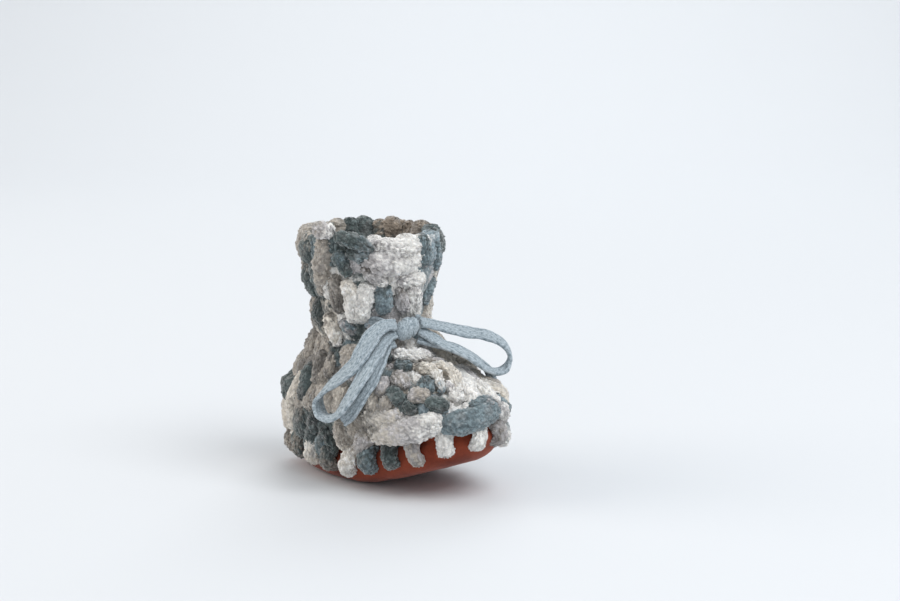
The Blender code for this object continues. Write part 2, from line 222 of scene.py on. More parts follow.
def clouds(points, size, seed):
    """Smooth noise from -1 to 1."""
    scaled = points / size
    base = np.floor(scaled).astype(np.int64)
    part = scaled - base
    part = part * part * (3 - 2 * part)
    total = 0
    for i in (0, 1):
        for j in (0, 1):
            for k in (0, 1):
                weight = np.prod(np.where((i, j, k), part, 1 - part), axis=-1)
                total = total + weight * scramble(base + (i, j, k), seed)[..., 0]
    return total * 2 - 1


# ---- yarn tufts ---------------------------------------------------------------------------
RING_SPACING = 0.00046
RING_POINTS = 46
# The pile: knots of fibre, the clumps and lumps they gather in, and its grain.
KNOB_SIZE, KNOB_HEIGHT = 0.00160, 0.00105
CLUMP_SIZE, CLUMP_HEIGHT = 0.0032, 0.00060
LUMP_SIZE, LUMP_HEIGHT = 0.0070, 0.00080
GRAIN = 0.00052
FEWEST_RINGS = 8
END_CROWDING = 0.075           # rings stand closer together near a tuft's ends
OUTER_CROWDING = (0.62, 0.38)  # and points closer together on its outer side
SCATTER = 0.05                 # each tuft reads the noise from a place of its own
PILE_FLOOR = 0.0004
# Where two colours meet: how far the knobs and the lumps of one reach into the other.
MEETING_KNOBS, MEETING_LUMPS = 1.15, 0.35
# The grey patches that the dye drifts to: their two sizes, and the most grey.
DRIFT_WIDE, DRIFT_FINE, DRIFT_MOST = 0.0050, 0.0017, 0.32


def tuft(path, faces_out, radius, colours, taper=0.0, plump=2.3, flat=0.92):
    """One plump length of chenille: its rings of points, their outward directions, each
    ring's share of the way along, and its colours in order."""
    path, faces_out = np.asarray(path, float), np.asarray(faces_out, float)
    rough = spline(path, np.linspace(0, len(path) - 1, 60))
    length = np.linalg.norm(np.diff(rough, axis=0), axis=1).sum()
    count = max(FEWEST_RINGS, int(length / RING_SPACING))
    share = np.linspace(0, 1, count)
    share = share - END_CROWDING * np.sin(2 * math.pi * share)
    at = share * (len(path) - 1)
    centre = spline(path, at)
    ahead = spline(path, np.minimum(at + 0.05, len(path) - 1))
    behind = spline(path, np.maximum(at - 0.05, 0))
    along = unit(ahead - behind)
    out = spline(faces_out, at)
    out = unit(out - along * (out * along).sum(-1, keepdims=True))
    side = np.cross(along, out)
    swell = np.sqrt(np.maximum(1 - np.abs(2 * share - 1) ** plump, 0.0004))
    swell = radius * swell * (1 - taper * (share - 0.5))
    around = np.linspace(-1, 1, RING_POINTS, endpoint=False)
    turn = math.pi * (OUTER_CROWDING[0] * around + OUTER_CROWDING[1] * around ** 3)
    way = (
        out[:, None] * np.cos(turn)[None, :, None] * flat
        + side[:, None] * np.sin(turn)[None, :, None]
    )
    points = centre[:, None] + way * swell[:, None, None]
    table = np.array([YARN[letter] for letter in colours])
    return points, unit(way), share, table


def tufts_mesh(name, tufts, rng):
    """All of a piece's tufts as one mesh, roughened into nap, with colour stored, and the nap's
    height stored for the painted shade in its hollows and the painted light on its tips.
    """
    points, ways, shares, faces, scatter = [], [], [], [], []
    start = 0
    for rings, way, share, _ in tufts:
        rows, around = rings.shape[:2]
        index = start + np.arange(rows * around).reshape(rows, around)
        right = np.roll(index, -1, axis=1)
        quads = np.stack([index[:-1], right[:-1], right[1:], index[1:]], -1)
        faces.append(quads.reshape(-1, 4))
        for end in (index[0][::-1], index[-1]):
            for i in range(1, around // 2):
                faces.append(np.array([[end[i - 1], end[i], end[-i - 1], end[-i]]]))
        points.append(rings.reshape(-1, 3))
        ways.append(way.reshape(-1, 3))
        shares.append(np.repeat(share, around))
        shift = np.array([rng.uniform(-SCATTER, SCATTER) for _ in range(3)])
        scatter.append(np.broadcast_to(shift, (rows * around, 3)))
        start += rows * around
    base, way, share = np.concatenate(points), np.concatenate(ways), np.concatenate(shares)
    where = base + np.concatenate(scatter)
    gap, number = knobs(where, KNOB_SIZE, SEED)
    height = np.clip(1.05 - gap * 1.25, 0, 1) * (0.55 + 0.75 * number)
    lumps = clouds(where, LUMP_SIZE, SEED + 1)
    clumps = clouds(where, CLUMP_SIZE, SEED + 4)
    grain = scramble(np.round(where * 1e6), SEED + 2)[:, 1] - 0.5
    proud = KNOB_HEIGHT * (height - 0.5) + CLUMP_HEIGHT * clumps + LUMP_HEIGHT * lumps
    # The pile's height again, stored below for painted shade in its hollows and painted light on
    # its tips.
    height = np.clip(height + 0.25 * clumps + 0.5 * grain, 0, 1)
    drift = scramble(np.round(where * 1e6), SEED + 3) - 0.5
    moved = base + way * (proud + GRAIN * grain)[:, None] + drift * GRAIN
    moved[:, 2] = np.maximum(moved[:, 2], PILE_FLOOR)
    # Colour: read along each tuft, with knobs of the next colour showing where two meet.
    colour = np.empty((len(base), 4), np.float32)
    colour[:, 3] = 1
    done = 0
    for rings, _, _, table in tufts:
        size = rings.shape[0] * rings.shape[1]
        part = slice(done, done + size)
        read = share[part] * (len(table) - 1) + (number[part] - 0.5) * MEETING_KNOBS
        read = np.clip(read + MEETING_LUMPS * lumps[part], 0, len(table) - 1)
        low = np.floor(read).astype(int)
        low = np.minimum(low, max(len(table) - 2, 0))
        mix = np.clip(read - low, 0, 1)
        mix = (mix * mix * (3 - 2 * mix))[:, None]
        high = np.minimum(low + 1, len(table) - 1)
        shade = 0.88 + 0.24 * number[part]
        colour[part, :3] = (table[low] * (1 - mix) + table[high] * mix) * shade[:, None]
        done += size
    # The dye drifts to grey in small patches that run from stitch to stitch.
    patches = clouds(where, DRIFT_WIDE, SEED + 12) + 0.8 * clouds(where, DRIFT_FINE, SEED + 13)
    grey = (np.clip(patches * 1.6 - 0.3, 0, 1) * DRIFT_MOST)[:, None]
    colour[:, :3] = colour[:, :3] * (1 - grey) + np.array(DRIFT_GREY) * grey
    mesh = bpy.data.meshes.new(name)
    mesh.from_pydata(moved.astype(np.float32), [], np.concatenate(faces).tolist())
    mesh.attributes.new("yarn", "FLOAT_COLOR", "POINT").data.foreach_set("color", colour.ravel())
    # Pile height kept for the chenille's painted shade and light: low pile darkened, high pile
    # lightened.
    pile_shade_height = mesh.attributes.new("pile_shade_height", "FLOAT", "POINT")
    pile_shade_height.data.foreach_set("value", height.astype(np.float32))
    mesh.shade_smooth()
    return add_object(name, mesh)


def on_surface(stops, lifts):
    """Points held off the upper at (level, degrees) stops, and the ways out there."""
    level = np.array([stop[0] for stop in stops], float)
    angle = np.radians([stop[1] for stop in stops])
    point, normal = surface(level, angle)
    return point + normal * np.asarray(lifts)[:, None], normal


# Stitches that stand out: (level, degrees from the toe) along it, radius in millimetres, its
# colours in order, and how far it stands proud, in millimetres. Placed one by one, in round
# steps.
STITCHES = (
    # The toe's rolls, and the short ones over them.
    ((0.3, -35), (0.4, -15), (0.5, 5), 6.4, "NNNN", 3.2),
    ((0.2, -75), (0.3, -55), (0.5, -37), 6.6, "BCLWW", 3.4),
    ((0.9, 5), (0.4, 12), (-0.4, 18), 3.4, "LWL", 1.6),
    ((1.2, -12), (1.2, 2), 3.6, "NNL", 2.4),
    ((2.2, 0), (1.4, -8), 4.8, "WWW", 2.6),
    ((2.0, 12), (1.2, 5), 3.8, "WWW", 1.8),
    ((2.2, -12), (1.5, -18), 3.2, "LW", 2.0),
    # Over the instep, under the bow.
    ((3.5, -35), (3.3, -20), (3.3, 0), 3.2, "LWWL", 2.0),
    ((3.2, -15), (2.9, 2), 3.0, "GBLL", 2.0),
    ((2.9, -8), (2.4, -5), (1.8, -15), 3.2, "WCCW", 2.8),
    ((2.9, -25), (2.5, -18), (1.9, -25), 3.0, "BCWS", 2.8),
    ((2.4, -28), (2.0, -32), 3.8, "KN", 2.8),
    ((3.0, -38), (3.0, -28), 2.8, "TN", 2.0),
    ((2.6, -45), (2.2, -45), 3.4, "BL", 2.8),
    ((1.8, -45), (1.8, -36), 3.8, "LB", 3.0),
    ((2.0, -55), (1.6, -55), 3.4, "TT", 2.6),
    ((1.4, -52), (1.2, -50), 3.0, "TK", 2.2),
    ((1.5, -38), (1.3, -30), 3.0, "TT", 2.0),
    ((3.7, -40), (3.3, -40), 3.0, "NK", 1.0),
    # The side of the foot.
    ((2.4, -58), (1.9, -63), 3.8, "LLB", 2.4),
    ((1.9, -70), (1.0, -72), 4.4, "CBB", 2.6),
    ((1.7, -60), (1.1, -66), 3.6, "CBB", 2.2),
    ((0.9, -77), (0.8, -58), 4.6, "BCL", 2.4),
    ((0.3, -78), (-0.8, -83), 4.4, "BLB", 3.0),
    ((0.6, -90), (-0.4, -90), 4.8, "BBC", 2.6),
    ((0.4, -97), (-0.9, -96), 3.0, "KT", 1.8),
    ((0.1, -100), (-1.1, -106), 4.0, "TNT", 2.2),
    ((0.8, -103), (-0.8, -115), 3.8, "KTT", 1.8),
    ((3.6, -72), (2.8, -76), 5.6, "BBB", 2.6),
    ((3.2, -90), (2.4, -94), 3.2, "GBG", 1.8),
    ((3.2, -101), (2.1, -104), 3.4, "GGB", 1.8),
    ((2.6, -115), (1.4, -113), 4.2, "TTK", 1.8),
    ((2.1, -124), (1.0, -126), 3.8, "CCC", 1.0),
    ((1.0, -126), (-0.5, -136), 4.2, "CCW", 1.0),
    # The leg.
    ((4.6, -88), (3.8, -82), 3.4, "BCW", 2.4),
    ((4.5, -70), (4.2, -62), 2.8, "LN", 1.2),
    ((5.6, -62), (4.6, -58), 4.2, "CWW", 3.2),
    ((5.5, -47), (4.6, -54), 4.2, "WWW", 3.2),
    ((5.5, -31), (4.8, -31), 4.3, "TSN", 1.8),
    ((5.4, -17), (4.8, -10), 3.4, "GLL", 1.8),
    ((5.4, 0), (4.6, 2), 4.6, "LWW", 2.2),
    ((6.1, -47), (5.6, -32), 3.4, "GLW", 1.8),
    ((5.7, -18), (5.6, 8), 3.8, "LWW", 1.8),
    ((5.5, 32), (4.9, 20), 3.2, "NNS", 1.0),
    ((6.2, -48), (6.2, -25), (6.2, -2), 6.4, "GLWW", 2.2),
    ((6.7, -37), (6.6, -18), (6.6, 0), 3.8, "LWW", 1.8),
    ((7.0, -69), (6.9, -57), (6.6, -43), 3.4, "TTN", 1.6),
    ((6.5, -60), (6.3, -46), 3.0, "TN", 1.6),
    ((6.4, -70), (5.9, -62), 3.2, "NTT", 2.0),
    ((6.8, 7), (6.1, 12), 3.8, "TNN", 1.0),
    ((6.5, 28), (5.8, 35), 3.2, "NNS", 1.0),
    ((6.7, -85), (5.3, -94), 5.6, "BBB", 1.6),
    ((5.7, -75), (4.8, -75), 3.8, "BGG", 1.6),
    ((7.2, -90), (7.2, -76), 3.6, "BLW", 1.6),
)


MM = 0.001
PILE_LIFT, PILE_SUNK = 1.3, 0.9     # millimetres more lift, and the share of its radius sunk
END_DIP, MOST_END_DIP = 0.45, 0.0018
END_PILE, SIDE_PILE = 0.55, 1.04


def hand_tufts():
    """(middle level, tuft, centreline, radius) for each stitch listed in STITCHES."""
    made = []
    for *stops, radius, colours, lift in STITCHES:
        r = radius * MM
        centre = (lift + PILE_LIFT) * MM - r * PILE_SUNK
        count = len(stops)
        lifts = [centre] * count
        lifts[0] -= min(END_DIP * r, MOST_END_DIP)
        lifts[-1] -= min(END_DIP * r, MOST_END_DIP)
        path, out = on_surface(stops, lifts)
        # The pile stands out past a stitch's ends too.
        ends = unit(path[[0, -1]] - path[[1, -2]])
        path[0] += ends[0] * r * END_PILE
        path[-1] += ends[1] * r * END_PILE
        middle = sum(stop[0] for stop in stops) / count
        # One that starts in the waist round belongs to it, because that round bends.
        if min(stop[0] for stop in stops) < CUFF < middle:
            middle = CUFF - 0.5
        made.append((middle, tuft(path, out, r * SIDE_PILE, colours), path, r))
    return made


# How the stitches of a round vary, in shares of a stitch's width or of a level.
WANDER, LEAN, MIDDLE_SWAY = 0.22, (0.12, 0.38), 0.1
UNDER, OVER, RIM_OVER = (0.10, 0.30), (0.02, 0.22), (-0.12, 0.04)
FIRST_UNDER, FULL, TAPER = 0.35, (0.58, 0.74), 0.4
# How far they stand out, in metres: their sides, the tuck at their ends, and how much
# further in one sits where a listed stitch covers it.
PROUD, PROUD_VARIES, TUCK, COVERED_SINK = 0.0014, (-0.0006, 0.0008), 0.0016, 0.0018
COVERED_SHARE, COVERED_REACH = 0.3, 0.0030
WALK_STEPS = 145


def ring_tufts(index, letters, hand, rng):
    """The ground of one round: a leaning tuft for each stitch, over a band that closes it."""
    fine = np.linspace(0, -2 * math.pi, WALK_STEPS)
    line = edge_point(np.full(WALK_STEPS, index + 0.5), fine)
    walked = np.concatenate([[0], np.cumsum(np.linalg.norm(np.diff(line, axis=0), axis=1))])
    count = len(letters)
    pitch = walked[-1] / count
    made = [ground_band(index, letters, walked, fine)]
    for k in range(count):
        at = (k + 0.5 + rng.uniform(-WANDER, WANDER)) * pitch
        angle = math.degrees(np.interp(at, walked, fine))
        lean = (1 if k % 2 else -1) * rng.uniform(*LEAN) * 360 / count
        low = index - rng.uniform(*UNDER)
        high = index + 1 + rng.uniform(*OVER)
        if index == 0:
            low -= FIRST_UNDER
        if index == CUFF:
            low = CUFF + 0.02    # clear of the drawstring when the leg leans
        if index == TOP - 1:
            high = index + 1 + rng.uniform(*RIM_OVER)
        radius = pitch * rng.uniform(*FULL)
        stops = [
            (low, angle - lean),
            ((low + high) / 2, angle + rng.uniform(-MIDDLE_SWAY, MIDDLE_SWAY) * 360 / count),
            (high, angle + lean),
        ]
        lift_by = PROUD - radius + rng.uniform(*PROUD_VARIES)
        path, out = on_surface(stops, [lift_by - TUCK, lift_by, lift_by - TUCK])
        if covered(path, hand) > COVERED_SHARE:
            path = path - out * COVERED_SINK
        # Every other stitch begins in the colour before it, and the rest end in the next.
        colours = letters[k] + letters[k] + letters[(k + 1) % count]
        if k % 2 == 0:
            colours = letters[k - 1] + letters[k] + letters[k]
        made.append(tuft(path, out, radius, colours, taper=rng.uniform(-TAPER, TAPER)))
    return made


def covered(path, hand):
    """The share of a path that lies under the listed stitches."""
    middle = spline(path, np.linspace(0.3, 1.7, 7))
    under = np.zeros(7, bool)
    for _, _, centre, radius in hand:
        fine = spline(centre, np.linspace(0, len(centre) - 1, 9))
        gap = np.linalg.norm(middle[:, None] - fine[None], axis=-1)
        under |= gap.min(axis=1) < radius + COVERED_REACH
    return float(under.mean())


GROUND_HALF, GROUND_SQUARENESS = 0.56, 0.6
GROUND_DEPTH, GROUND_HALF_THICK = -0.0040, 0.0021
FIRST_REACH = 1.7
RIM_GAP, CUFF_GAP = 0.15, 0.05


def ground_band(index, letters, walked, fine):
    """The round's closed ground behind its tufts, read by angle like one long tuft."""
    rows, around = ((320, 30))
    share = np.linspace(0, 1, rows)
    angle = np.interp(share * walked[-1], walked, fine)
    turn = np.linspace(0, 2 * math.pi, around, endpoint=False)
    wave = np.sin(turn)
    level = index + 0.5 + GROUND_HALF * np.sign(wave) * np.abs(wave) ** GROUND_SQUARENESS
    # The first round's ground reaches down behind the lacing to the sole.
    if index == 0:
        level = np.where(level < 0.5, 0.5 + (level - 0.5) * FIRST_REACH, level)
    if index == TOP - 1:
        level = np.minimum(level, TOP - RIM_GAP)
    if index == CUFF:
        level = np.maximum(level, CUFF + CUFF_GAP)
    deep = GROUND_DEPTH + GROUND_HALF_THICK * np.cos(turn)
    point, normal = surface(np.tile(level, rows), np.repeat(angle, around))
    points = (point + normal * np.tile(deep, rows)[:, None]).reshape(rows, around, 3)
    centre = points.mean(axis=1, keepdims=True)
    table = np.array([YARN[letter] for letter in letters + letters[0]])
    return points, unit(points - centre), share, table


# ---- materials ----------------------------------------------------------------------------
def new_material(name):
    made = bpy.data.materials.new(name)
    made.use_nodes = True
    tree = made.node_tree
    return made, tree, tree.nodes["Principled BSDF"]


def add_node(tree, kind, values=None, links=None, **settings):
    """A new node: its settings, then values on its inputs, then outputs linked to them."""
    made = tree.nodes.new("ShaderNode" + kind)
    for name, value in settings.items():
        setattr(made, name, value)
    for name, value in (values or {}).items():
        made.inputs[name].default_value = value
    for name, output in (links or {}).items():
        tree.links.new(output, made.inputs[name])
    return made


def noise(tree, place, scale, detail):
    values = {"Scale": scale, "Detail": detail}
    return add_node(tree, "TexNoise", values, {"Vector": place}).outputs["Fac"]


def spread(tree, value, low, high, to_low, to_high):
    """A value from low to high, moved to the range from to_low to to_high and held there."""
    values = {"From Min": low, "From Max": high, "To Min": to_low, "To Max": to_high}
    return add_node(tree, "MapRange", values, {"Value": value}).outputs["Result"]


def arithmetic(tree, operation, a, b):
    return add_node(tree, "Math", links={0: a, 1: b}, operation=operation).outputs["Value"]


def tinted(tree, colour, factor):
    mix = add_node(tree, "Mix", {"Factor": 1.0}, {"A": colour, "B": factor},
                   data_type="RGBA", blend_type="MULTIPLY")
    return mix.outputs["Result"]


def ramp(tree, factor, *stops):
    """A colour ramp of (position, colour) stops."""
    made = add_node(tree, "ValToRGB", links={"Fac": factor})
    for element, (position, colour) in zip(made.color_ramp.elements, stops):
        element.position = position
        element.color = (*colour, 1)
    return made.outputs["Color"]


def finish_shader(tree, shader, colour, height, strength, distance, values):
    bump = add_node(tree, "Bump", {"Strength": strength, "Distance": distance},
                    {"Height": height})
    tree.links.new(colour, shader.inputs["Base Color"])
    tree.links.new(bump.outputs["Normal"], shader.inputs["Normal"])
    for name, value in values.items():
        shader.inputs[name].default_value = value


def yarn_material():
    made, tree, shader = new_material("chenille")
    yarn = add_node(tree, "Attribute", attribute_name="yarn").outputs["Color"]
    pile_shade_height = add_node(tree, "Attribute", attribute_name="pile_shade_height").outputs["Fac"]
    place = add_node(tree, "TexCoord").outputs["Object"]
    # Painted shade and painted light: low pile darkened as if shaded, the tips lightened as if
    # lit.
    painted_pile_shade = spread(tree, pile_shade_height, 0, 1, 0.60, 1.17)
    light = spread(tree, noise(tree, place, 1300, 2), 0.3, 0.7, 0.86, 1.13)
    # The pile's curls: painted shade where they part, over a random mottle; the same pattern is
    # the bump's height.
    curl = add_node(tree, "TexVoronoi", {"Scale": 780}, {"Vector": place}).outputs["Distance"]
    curl_mottle_and_shade = arithmetic(tree, "MULTIPLY", light, spread(tree, curl, 0.15, 0.80, 1.16, 0.66))
    # The hollows' painted shade and light, times the curls' mottle and painted shade.
    deep = arithmetic(tree, "MULTIPLY", painted_pile_shade, curl_mottle_and_shade)
    # Pale yarn lets light through, so on it the painted shade and light of its hollows and curls
    # give way to an even tone, a little lighter.
    grey = add_node(tree, "RGBToBW", links={"Color": yarn}).outputs["Val"]
    pale = spread(tree, grey, 0.15, 0.85, 0.0, 0.55)
    shade = add_node(tree, "Mix", {"B": 1.06}, {"Factor": pale, "A": deep}, data_type="FLOAT")
    colour = tinted(tree, yarn, shade.outputs["Result"])
    finish_shader(tree, shader, colour, curl_mottle_and_shade, 0.9, 0.0008, {
        "Roughness": 0.95,
        "Specular IOR Level": 0.2,
        "Sheen Weight": 0.5,
        "Sheen Roughness": 0.45,
        "Subsurface Weight": 0.2,
        "Subsurface Radius": (1.0, 0.9, 0.8),
        "Subsurface Scale": 0.0012,
    })
    return made


def suede_material():
    made, tree, shader = new_material("suede")
    place = add_node(tree, "TexCoord").outputs["Object"]
    patch = noise(tree, place, 70, 4)
    nap = noise(tree, place, 2600, 3)
    hide = ramp(tree, patch, (0.3, linear(104, 42, 26)), (0.7, linear(158, 74, 48)))
    colour = tinted(tree, hide, spread(tree, nap, 0.3, 0.7, 0.80, 1.18))
    finish_shader(tree, shader, colour, nap, 0.35, 0.0002, {
        "Roughness": 0.92,
        "Specular IOR Level": 0.25,
        "Sheen Weight": 0.12,
        "Sheen Roughness": 0.5,
    })
    return made


def jersey_material():
    """Heathered knit, in the cord's own coordinates: along it, and across it."""
    made, tree, shader = new_material("jersey")
    place = add_node(tree, "UVMap", uv_map="cord").outputs["UV"]
    flecks = add_node(tree, "Mapping", {"Scale": (420, 1500, 1)}, {"Vector": place})
    fleck = noise(tree, flecks.outputs["Vector"], 1.6, 3)
    colour = ramp(tree, fleck, (0.34, linear(120, 133, 140)), (0.62, linear(188, 198, 204)))
    rows = add_node(tree, "Mapping", {"Scale": (1100, 1100, 1)}, {"Vector": place})
    loops = add_node(tree, "TexWave", {"Scale": 0.32, "Distortion": 1.5, "Detail": 1},
                     {"Vector": rows.outputs["Vector"]}, bands_direction="X")
    height = arithmetic(tree, "ADD", loops.outputs["Fac"], fleck)
    finish_shader(tree, shader, colour, height, 0.4, 0.0002, {
        "Roughness": 0.88,
        "Specular IOR Level": 0.2,
        "Sheen Weight": 0.2,
    })
    return made


# ---- the drawstring -----------------------------------------------------------------------
CORD_WIDE, CORD_THICK = 0.0080, 0.0020
BAND_LEVEL, BAND_DEPTH, BAND_STEPS = 4.42, -0.0029, 40
BAND_EXIT_NEAR = ((29.0, 0.0036), (32.5, 0.0020), (37.0, -0.0005), (43.0, -0.0024))
BAND_EXIT_FAR = ((-2.6, 0.0036), (1.0, 0.0020), (5.5, -0.0005), (11.5, -0.0024))
# The bow is laid out as if it faced straight ahead from the leg's axis, and is then turned.
KNOT_TURN = -12.0
KNOT_CENTRE = (0.0366, -0.0025, 0.0755)
KNOT_HALF = (0.0039, 0.0060, 0.0050)
# Each cord's route: a point on it, then the way its outer face looks.
LOOP_LEFT = (
    (0.0375, -0.0090, 0.0780, 0.75, -0.10, 0.65),
    (0.0365, -0.0140, 0.0780, 0.60, -0.35, 0.75),
    (0.0360, -0.0195, 0.0750, 0.60, -0.45, 0.65),
    (0.0360, -0.0250, 0.0685, 0.55, -0.55, 0.60),
    (0.0355, -0.0300, 0.0615, 0.40, -0.70, 0.55),
    (0.0315, -0.0350, 0.0555, 0.00, -0.80, 0.60),
    (0.0250, -0.0390, 0.0495, -0.40, -0.70, 0.50),
    (0.0200, -0.0405, 0.0435, -0.80, -0.50, 0.10),
    (0.0215, -0.0405, 0.0380, -0.60, -0.30, -0.70),
    (0.0280, -0.0410, 0.0365, -0.10, 0.10, -1.00),
    (0.0355, -0.0400, 0.0390, 0.20, 0.60, -0.75),
    (0.0400, -0.0370, 0.0455, 0.10, 0.80, -0.55),
    (0.0410, -0.0315, 0.0535, -0.10, 0.80, -0.55),
    (0.0400, -0.0250, 0.0615, -0.25, 0.70, -0.65),
    (0.0380, -0.0185, 0.0680, -0.35, 0.50, -0.75),
    (0.0365, -0.0135, 0.0725, -0.50, 0.25, -0.80),
    (0.0365, -0.0090, 0.0740, -0.75, 0.05, -0.65),
)
TAIL_LEFT = (
    (0.0360, -0.0090, 0.0695, 0.65, -0.10, 0.75),
    (0.0355, -0.0130, 0.0685, 0.50, -0.30, 0.85),
    (0.0375, -0.0170, 0.0650, 0.50, -0.40, 0.80),
    (0.0400, -0.0215, 0.0600, 0.50, -0.60, 0.65),
    (0.0415, -0.0260, 0.0530, 0.40, -0.75, 0.50),
    (0.0400, -0.0300, 0.0465, 0.30, -0.85, 0.40),
    (0.0370, -0.0330, 0.0405, 0.30, -0.95, 0.15),
    (0.0315, -0.0345, 0.0355, 0.25, -0.95, 0.00),
)
LOOP_RIGHT = (
    (0.0375, 0.0045, 0.0780, 0.75, 0.10, 0.65),
    (0.0370, 0.0100, 0.0765, 0.50, -0.05, 0.85),
    (0.0370, 0.0180, 0.0740, 0.40, -0.20, 0.90),
    (0.0380, 0.0285, 0.0710, 0.45, -0.20, 0.90),
    (0.0415, 0.0380, 0.0690, 0.50, 0.05, 0.85),
    (0.0455, 0.0450, 0.0650, 0.55, 0.55, 0.60),
    (0.0480, 0.0475, 0.0585, 0.50, 0.85, 0.10),
    (0.0480, 0.0440, 0.0530, 0.10, 0.40, -0.90),
    (0.0490, 0.0370, 0.0530, -0.20, -0.20, -0.95),
    (0.0510, 0.0295, 0.0570, -0.40, -0.40, -0.80),
    (0.0510, 0.0200, 0.0635, -0.40, -0.35, -0.85),
    (0.0455, 0.0125, 0.0675, -0.45, -0.25, -0.85),
    (0.0400, 0.0085, 0.0710, -0.50, -0.10, -0.85),
    (0.0365, 0.0045, 0.0740, -0.75, -0.05, -0.65),
)
TAIL_RIGHT = (
    (0.0360, 0.0040, 0.0700, 0.65, 0.00, 0.75),
    (0.0400, 0.0095, 0.0680, 0.40, 0.10, 0.90),
    (0.0410, 0.0165, 0.0660, 0.40, 0.20, 0.90),
    (0.0425, 0.0245, 0.0630, 0.35, 0.35, 0.85),
    (0.0420, 0.0320, 0.0590, 0.25, 0.55, 0.80),
    (0.0400, 0.0390, 0.0540, 0.15, 0.75, 0.65),
    (0.0375, 0.0435, 0.0485, 0.05, 0.85, 0.50),
    (0.0360, 0.0465, 0.0420, 0.00, 1.00, 0.20),
    (0.0345, 0.0470, 0.0365, 0.00, 1.00, 0.00),
)


RIBBON_AROUND = 40
ROLL_POWER, ROLL_FULL = 6, 1.15
GROOVE_AT, GROOVE_WIDE, GROOVE_DEEP = 0.42, 0.15, 0.62
GATHER, GATHER_REACH = 0.34, 0.009
# Folds in the knot: how deep, where across it, how far each sways, and how wide it is.
KNOT_FOLDS = ((0.20, -0.30, 0.12, 0.10), (0.24, 0.34, 0.10, 0.09))
KNOT_FULL, KNOT_RISE = 1.05, 0.0012


def unwrap(mesh, along, across):
    """Lays out the jersey's pattern from each point's place along the cord and across it."""
    corner = np.empty(len(mesh.loops), np.int32)
    mesh.loops.foreach_get("vertex_index", corner)
    places = np.stack([along[corner], across[corner]], -1).astype(np.float32)
    mesh.uv_layers.new(name="cord").data.foreach_set("uv", places.ravel())


def ribbon(name, route, material, gathered=()):
    """A flat cord with rolled edges and two soft grooves along each face, drawn narrower
    at the gathered shares of its length. Returns it with its length and its centreline."""
    route = np.array(route, float)
    rough = spline(route, np.linspace(0, len(route) - 1, 200))
    length = np.linalg.norm(np.diff(rough[:, :3], axis=0), axis=1).sum()
    count = int(length / (0.0005))
    at = np.linspace(0, len(route) - 1, count)
    rows = spline(route, at)
    centre = rows[:, :3]
    ahead = spline(route, np.minimum(at + 0.1, len(route) - 1))[:, :3]
    behind = spline(route, np.maximum(at - 0.1, 0))[:, :3]
    along = unit(ahead - behind)
    out = rows[:, 3:]
    out = unit(out - along * (out * along).sum(-1, keepdims=True))
    side = np.cross(along, out)
    around = RIBBON_AROUND
    turn = np.linspace(0, 2 * math.pi, around, endpoint=False)
    across = np.cos(turn)
    # Thick rolled edges, and a groove inside each.
    thick = np.sqrt(np.maximum(1 - np.abs(across) ** ROLL_POWER, 0))
    dip = 1 - GROOVE_DEEP * np.exp(-((np.abs(across) - GROOVE_AT) / GROOVE_WIDE) ** 2)
    height = np.sign(np.sin(turn)) * thick * dip * CORD_THICK / 2 * ROLL_FULL
    width = CORD_WIDE / 2 * np.sign(across) * np.abs(across) ** 0.8
    walked = np.linspace(0, length, count)
    wobble = 1 + 0.06 * np.sin(walked * 310 + 1.3) + 0.04 * np.sin(walked * 770)
    for end in gathered:
        near = np.exp(-((walked - end * length) / GATHER_REACH) ** 2)
        wobble = wobble * (1 - GATHER * near)
    points = (
        centre[:, None]
        + side[:, None] * (width[None, :] * wobble[:, None])[..., None]
        + out[:, None] * height[None, :, None]
    )
    flat = points.reshape(-1, 3)
    fine = clouds(flat, 0.0011, SEED + 5) * 0.00007 + clouds(flat, 0.006, SEED + 6) * 0.00016
    outward = (out[:, None] * np.sign(np.sin(turn))[None, :, None]).reshape(-1, 3)
    flat = flat + outward * fine[:, None]
    index = np.arange(count * around).reshape(count, around)
    right = np.roll(index, -1, axis=1)
    faces = np.stack([index[:-1], right[:-1], right[1:], index[1:]], -1)
    faces = faces.reshape(-1, 4).tolist() + [index[0][::-1].tolist(), index[-1].tolist()]
    mesh = bpy.data.meshes.new(name)
    mesh.from_pydata(flat, [], faces)
    unwrap(mesh, np.repeat(walked, around), np.tile(width, count))
    mesh.shade_smooth()
    mesh.materials.append(material)
    path = centre[:: max(1, count // 60)].tolist() + [centre[-1].tolist()]
    return add_object(name, mesh), length, path


def turned(x, y):
    """Where a place or a direction of the bow comes to when the bow is turned."""
    angle = math.radians(KNOT_TURN)
    return x * math.cos(angle) - y * math.sin(angle), x * math.sin(angle) + y * math.cos(angle)


def bow_point(x, y, z):
    x, y = turned(x, y)
    return x + LEG_X, y, z


def bow_route(rows):
    x, y, z, *face = np.array(rows).T
    return np.stack([*bow_point(x, y, z), *turned(face[0], face[1]), face[2]], -1)


def band_route():
    start, end = BAND_EXIT_FAR[-1][0], 360 - BAND_EXIT_NEAR[-1][0]
    step = (end - start) / BAND_STEPS
    places = list(BAND_EXIT_FAR)
    places += [(start + step * i, BAND_DEPTH) for i in range(1, BAND_STEPS)]
    places += [(360 - degrees, out) for degrees, out in reversed(BAND_EXIT_NEAR)]
    angle = np.radians([place[0] for place in places])
    point, normal = surface(np.full(len(places), BAND_LEVEL), angle)
    point = point + normal * np.array([place[1] for place in places])[:, None]
    return np.concatenate([point, normal], axis=1)


